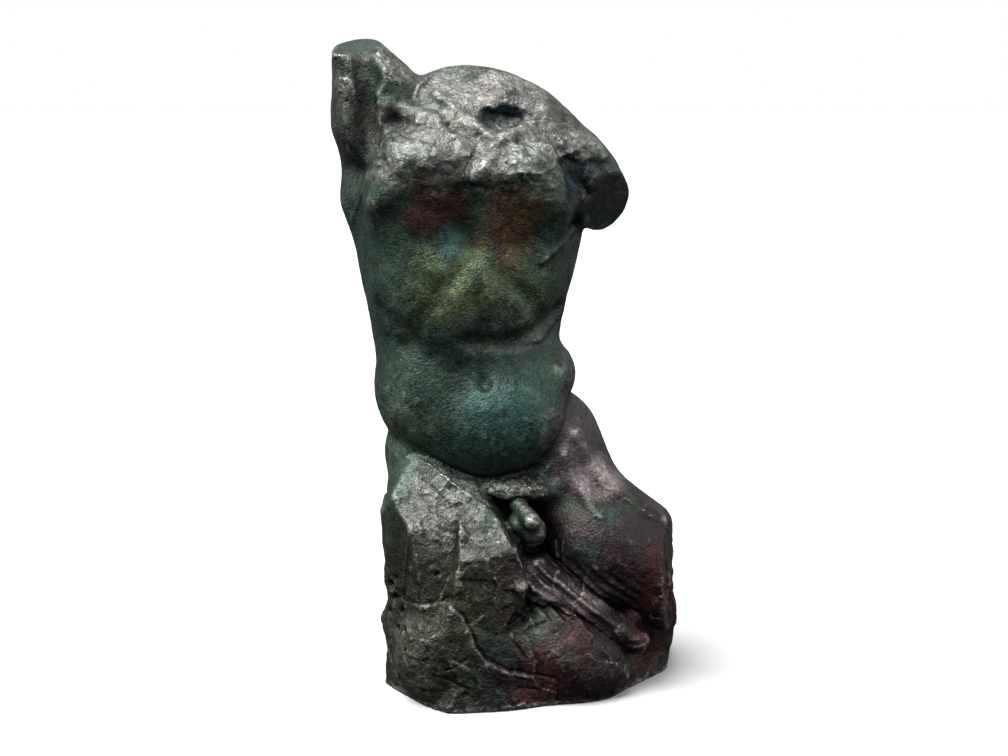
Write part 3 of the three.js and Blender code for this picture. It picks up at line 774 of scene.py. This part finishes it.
# Where each tint lies: name, middle, radii and strength. Later ones lie over earlier ones.
COLOURS = [
    ("deep green", (-60, 0, 560), (190, 400, 190), 0.5),
    ("mid grey", (-40, 0, 880), (260, 300, 110), 0.8),
    ("dark olive", (-110, -60, 150), (170, 400, 200), 1.0),
    ("olive", (-50, -170, 170), (60, 60, 90), 0.8),
    ("grey olive", (-150, -130, 60), (70, 120, 70), 0.8),
    ("purple brown", (170, -40, 180), (175, 300, 235), 1.0),
    ("purple brown", (60, -160, 40), (130, 60, 75), 0.9),
    ("purple grey", (100, -40, 400), (60, 90, 70), 0.9),
    ("crimson", (60, -160, 30), (60, 40, 60), 0.45),
    ("crimson", (240, -60, 120), (40, 120, 150), 0.55),
    ("crimson", (90, -150, 110), (60, 40, 40), 0.35),
    ("deep green", (-20, -175, 95), (26, 40, 26), 0.8),
    # Painted highlight: the right side of the belly, where the key light falls
    ("painted highlight green", (-150, -60, 400), (60, 80, 60), 0.5),
    ("verdigris", (-90, -100, 350), (90, 60, 50), 0.6),
    ("yellow green", (-80, -110, 640), (80, 80, 70), 0.65),
    ("yellow green", (30, -100, 620), (60, 80, 60), 0.4),
    ("teal", (-75, -110, 705), (26, 50, 34), 0.7),
    ("teal", (10, -110, 440), (80, 70, 60), 0.5),
    ("teal", (130, -90, 245), (40, 60, 30), 0.5),
    ("mid grey", (10, -90, 565), (90, 60, 34), 0.5),
    ("dark red", (-105, -100, 757), (40, 60, 42), 0.95),
    ("orange brown", (8, -100, 725), (46, 60, 56), 0.85),
    # Painted shade in the hollow between the left side of the chest and the shoulder
    ("deep blue and painted shade", (106, -50, 795), (34, 50, 40), 0.9),
    # Painted shade: the down-facing break of the left arm, and the shaded side and armpit of the right
    # arm
    ("painted shade grey", (165, -20, 755), (50, 70, 60), 0.95),
    ("painted shade grey", (-238, 0, 850), (40, 100, 60), 0.8),
    ("mid grey", (-240, 0, 940), (40, 100, 48), 0.35),
    ("painted shade grey", (-212, -40, 930), (16, 60, 90), 0.95),
    ("painted shade grey", (-240, -20, 930), (30, 70, 60), 0.6),
    ("mid grey", (150, -60, 330), (52, 90, 30), 0.4),
    # Painted highlight on the upward-facing facets of the left thigh and the drapery
    ("painted highlight rose", (150, -60, 335), (56, 70, 26), 0.9),
    ("painted highlight rose", (105, -110, 168), (56, 60, 24), 0.55),
    # Painted highlight: glints on the head of the left shoulder
    ("painted highlight grey", (112, -30, 842), (34, 60, 20), 0.9),
    # Painted highlight on the right flank, where the key light falls
    ("painted highlight green", (-170, 0, 405), (50, 120, 60), 0.5),
    ("mid grey", (100, 0, 620), (30, 120, 130), 0.4),
    # The throat hollow: dark blue patina with painted shade over it
    ("deep blue and painted shade", (0, -40, 893), (62, 40, 24), 0.9),
    # Painted highlight: sheen on the upper chest where it faces the light
    ("painted highlight grey", (-110, -80, 852), (90, 110, 62), 0.7),
    ("painted highlight grey", (10, -80, 842), (90, 110, 48), 0.6),
]


def neighbour_mean(values, edges, count):
    """The mean of each vertex's neighbours, along every column of the values."""
    start, end = edges.T
    columns = [np.bincount(start, v[end], count) + np.bincount(end, v[start], count) for v in values.T]
    return np.stack(columns, 1) / np.bincount(edges.ravel(), minlength=count)[:, None]


def proud(points, facing, edges, rounds):
    """How far each point stands out from its surroundings, which are smoothed in rounds."""
    smooth = points
    for _ in range(rounds):
        smooth = neighbour_mean(smooth, edges, len(points))
    return ((points - smooth) * facing).sum(1)


def read(items, name, width, kind=np.float32):
    values = np.empty(width * len(items), kind)
    items.foreach_get(name, values)
    return values.reshape(-1, width) if width > 1 else values


OPEN_AIR = 14  # a point is shaded where something stands this near in front of it, millimetres


def paint(mesh):
    """Colours mixed tint over tint, each with a ragged edge; hollows darkened with painted shade, ridges
    rubbed bright.
    """
    p = read(mesh.vertices, "co", 3) * 1000.0 + (CENTRE[0], CENTRE[1], 0)
    facing = read(mesh.vertices, "normal", 3).astype(float)
    edges = read(mesh.edges, "vertices", 2, np.int32)
    broken, bare = np.zeros(len(p)), np.zeros(len(p))
    for _, at, reach, looks, _, _, shows in BREAKS:
        mask = break_mask(p, facing, at, reach, looks)
        broken, bare = np.maximum(broken, mask), np.maximum(bare, shows * mask)
    fine = proud(p, facing, edges, 4)
    broad = proud(p, facing, edges, 40)
    # How open each point is: used below for painted shade in hollows, and to keep wear off them
    openness_shade_and_wear = ease(figure(p + OPEN_AIR * facing), -2, 13)
    rgb = np.tile(np.array(TINTS["verdigris"]), (len(p), 1))
    for n, (tint, at, radii, strength) in enumerate(COLOURS):
        reach = np.sqrt((((p - np.array(at)) / np.array(radii)) ** 2).sum(1))
        ragged = reach + 0.8 * mottle(p, 40, 5, 60 + n)
        amount = (strength * (1 - ease(ragged, 0.4, 1.35)))[:, None]
        rgb = rgb * (1 - amount) + np.array(TINTS[tint]) * amount
    fresh = (bare * ease(0.6 + mottle(p, 24, 4, 31), 0.1, 0.6))[:, None]
    rgb = rgb * (1 - fresh) + np.array(TINTS["break grey"]) * fresh
    # Painted shade: darker where something stands close in front of the skin, and darker in fine hollows
    rgb *= ((0.25 + 0.75 * openness_shade_and_wear) * ease(fine, -2.2, 0.4))[:, None]
    colours = mesh.attributes.new("patina", "FLOAT_COLOR", "POINT")
    colours.data.foreach_set("color", np.c_[rgb, np.ones(len(p))].astype(np.float32).ravel())
    rock = 1 - ease(p[:, 2], 150, 330)
    rubbed = 0.9 * fine + 0.02 * broad + 0.25 * mottle(p, 18, 3, 44)
    wear = ease(rubbed, 0.55, 1.9) * (0.3 + 0.7 * openness_shade_and_wear) * (1 - 0.6 * rock)
    for name, values in (("wear", wear), ("grain", np.maximum(0.5 * broken, 0.4 * rock))):
        mesh.attributes.new(name, "FLOAT", "POINT").data.foreach_set("value", values.astype(np.float32))


class Nodes:
    """Adds nodes to a material and links them."""

    def __init__(self, name):
        self.material = bpy.data.materials.new(name)
        self.material.use_nodes = True
        self.tree = self.material.node_tree
        self.shader = self.tree.nodes["Principled BSDF"]
        self.place = self.add("ShaderNodeTexCoord").outputs["Object"]

    def add(self, kind, **settings):
        node = self.tree.nodes.new(kind)
        for name, value in settings.items():
            setattr(node, name, value)
        return node

    def put(self, socket, value):
        if isinstance(value, bpy.types.NodeSocket):
            self.tree.links.new(value, socket)
        else:
            socket.default_value = value

    def attribute(self, name, output="Fac"):
        return self.add("ShaderNodeAttribute", attribute_name=name).outputs[output]

    def noise(self, size, detail=6.0, roughness=0.6, warp=0.0):
        """Noise from 0 to 1 with features of that size in metres."""
        node = self.add("ShaderNodeTexNoise")
        self.put(node.inputs["Vector"], self.place)
        node.inputs["Scale"].default_value = 1 / size
        node.inputs["Detail"].default_value = detail
        node.inputs["Roughness"].default_value = roughness
        node.inputs["Distortion"].default_value = warp
        return node.outputs["Fac"]

    def math(self, operation, a, b=0.0, clamp=False):
        node = self.add("ShaderNodeMath", operation=operation, use_clamp=clamp)
        self.put(node.inputs[0], a)
        self.put(node.inputs[1], b)
        return node.outputs[0]

    def ramp(self, value, low, high, start=0.0, end=1.0):
        """The value carried from the range low..high to start..end, and held at its ends."""
        node = self.add("ShaderNodeMapRange", clamp=True)
        for socket, given in zip(node.inputs[:5], (value, low, high, start, end)):
            self.put(socket, given)
        return node.outputs[0]

    def mix(self, amount, a, b, blend="MIX"):
        node = self.add("ShaderNodeMix", data_type="RGBA", blend_type=blend)
        self.put(node.inputs[0], amount)
        for socket, given in zip(node.inputs[6:8], (a, b)):
            self.put(socket, given if isinstance(given, bpy.types.NodeSocket) else (*given, 1))
        return node.outputs[2]

    def scaled(self, colour, factor):
        node = self.add("ShaderNodeVectorMath", operation="SCALE")
        self.put(node.inputs[0], colour)
        self.put(node.inputs["Scale"], factor)
        return node.outputs[0]


BARE_METAL = (0.40, 0.39, 0.37)  # on rubbed ridges
BUMP = 0.004  # height of the finest grain, metres


def bronze_patina():
    """Old bronze: the painted patina, mottled and speckled, with rubbed metal on its ridges."""
    n = Nodes("bronze_patina")
    wear, grain = n.attribute("wear"), n.attribute("grain")
    broad, medium, speck = n.noise(0.030, 9, 0.7, 0.6), n.noise(0.008, 4, 0.65), n.noise(0.0045, 2, 0.6)
    tone = n.noise(0.022, 8, 0.7, 1.0)
    colour = n.scaled(n.attribute("patina", "Color"), n.ramp(broad, 0.32, 0.68, 0.42, 1.7))
    warm_or_cool = n.mix(n.ramp(tone, 0.38, 0.62), (1.05, 1.0, 0.93), (0.95, 1.0, 1.03))
    colour = n.mix(1.0, colour, warm_or_cool, "MULTIPLY")
    colour = n.scaled(colour, n.ramp(medium, 0.3, 0.7, 0.55, 1.55))
    colour = n.scaled(colour, n.ramp(speck, 0.3, 0.7, 0.65, 1.45))
    rubbed = n.math("MULTIPLY", wear, n.ramp(medium, 0.38, 0.58, 0.1, 1.0), clamp=True)
    colour = n.mix(rubbed, colour, BARE_METAL)
    n.put(n.shader.inputs["Base Color"], colour)
    n.put(n.shader.inputs["Roughness"], n.ramp(medium, 0.3, 0.7, 0.38, 0.56))
    n.put(n.shader.inputs["Metallic"], n.ramp(rubbed, 0, 0.6, 0.6, 1.0))
    n.shader.inputs["Specular IOR Level"].default_value = 0.5
    bumps = n.math("MULTIPLY", n.noise(0.0065, 3, 0.55, 0.4), n.math("ADD", 0.22, grain))
    bumps = n.math("ADD", bumps, n.math("MULTIPLY", n.noise(0.0032, 1, 0.5), 0.28))
    relief = n.add("ShaderNodeBump")
    relief.inputs["Strength"].default_value = 1.0
    relief.inputs["Distance"].default_value = BUMP
    n.put(relief.inputs["Height"], bumps)
    n.put(n.shader.inputs["Normal"], relief.outputs["Normal"])
    return n.material


torso = cast_torso()
paint(torso.data)
torso.data.materials.append(bronze_patina())
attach(torso, "root")
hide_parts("torso")


# ---------------------------------------------------------------- room


def plain(name, colour, roughness):
    material = bpy.data.materials.new(name)
    material.use_nodes = True
    shader = material.node_tree.nodes["Principled BSDF"]
    shader.inputs["Base Color"].default_value = (*colour, 1)
    shader.inputs["Roughness"].default_value = roughness
    return material


def floor():
    """A wide pale floor."""
    mesh = bpy.data.meshes.new("floor")
    mesh.from_pydata([(-40, -40, 0), (40, -40, 0), (40, 40, 0), (-40, 40, 0)], [], [(0, 1, 2, 3)])
    piece = bpy.data.objects.new("floor", mesh)
    piece.data.materials.append(plain("floor_white", (0.52, 0.52, 0.52), 0.9))
    piece.visible_diffuse = piece.visible_glossy = False
    bpy.context.scene.collection.objects.link(piece)


def sun(name, towards, spread, strength):
    """A wide soft light from far off."""
    light = bpy.data.lights.new(name, "SUN")
    light.angle = math.radians(spread)
    light.energy = strength
    piece = bpy.data.objects.new(name, light)
    piece.rotation_euler = Vector(towards).to_track_quat("Z", "Y").to_euler()
    bpy.context.scene.collection.objects.link(piece)


def camera():
    """Stands before the figure, a little above its middle, and looks down at it."""
    lens = bpy.data.cameras.new("camera")
    lens.sensor_width = 36
    lens.lens = 61.7
    piece = bpy.data.objects.new("camera", lens)
    piece.location = (-0.005, -2.65, 0.95)
    piece.rotation_euler = (math.radians(90 - 10.04), 0, 0)
    bpy.context.scene.collection.objects.link(piece)
    bpy.context.scene.camera = piece


def daylight(below, level, above):
    """A room that is seen as plain white, and lights by so much from below, from its walls and above."""
    world = bpy.data.worlds.new("daylight")
    world.use_nodes = True
    tree = world.node_tree
    path = tree.nodes.new("ShaderNodeLightPath")
    way = tree.nodes.new("ShaderNodeTexCoord")
    height = tree.nodes.new("ShaderNodeSeparateXYZ")
    shade = tree.nodes.new("ShaderNodeValToRGB")
    shade.color_ramp.elements.new(0.5)
    stops = ((0.3, below), (0.5, level), (0.85, above))
    for element, (place, light) in zip(shade.color_ramp.elements, stops):
        element.position = place
        element.color = (light, light, light, 1)
    half = tree.nodes.new("ShaderNodeMapRange")
    half.inputs["From Min"].default_value = -1
    seen = tree.nodes.new("ShaderNodeMix")
    seen.data_type = "RGBA"
    seen.inputs[7].default_value = (1, 1, 1, 1)
    for start, end in (
        (way.outputs["Generated"], height.inputs[0]), (height.outputs["Z"], half.inputs["Value"]),
        (half.outputs["Result"], shade.inputs["Fac"]), (shade.outputs["Color"], seen.inputs[6]),
        (path.outputs["Is Camera Ray"], seen.inputs[0]),
        (seen.outputs[2], tree.nodes["Background"].inputs["Color"]),
    ):
        tree.links.new(start, end)
    tree.nodes["Background"].inputs["Strength"].default_value = 1
    bpy.context.scene.world = world


camera()
floor()
daylight(0.06, 0.25, 0.8)
sun("key", (-0.5, -0.42, 1.25), 50, 7.0)
sun("right", (1.2, -0.35, 0.35), 60, 1.6)
sun("left", (-1.2, -0.3, 0.3), 60, 0.9)
bpy.context.scene.view_settings.view_transform = "Standard"
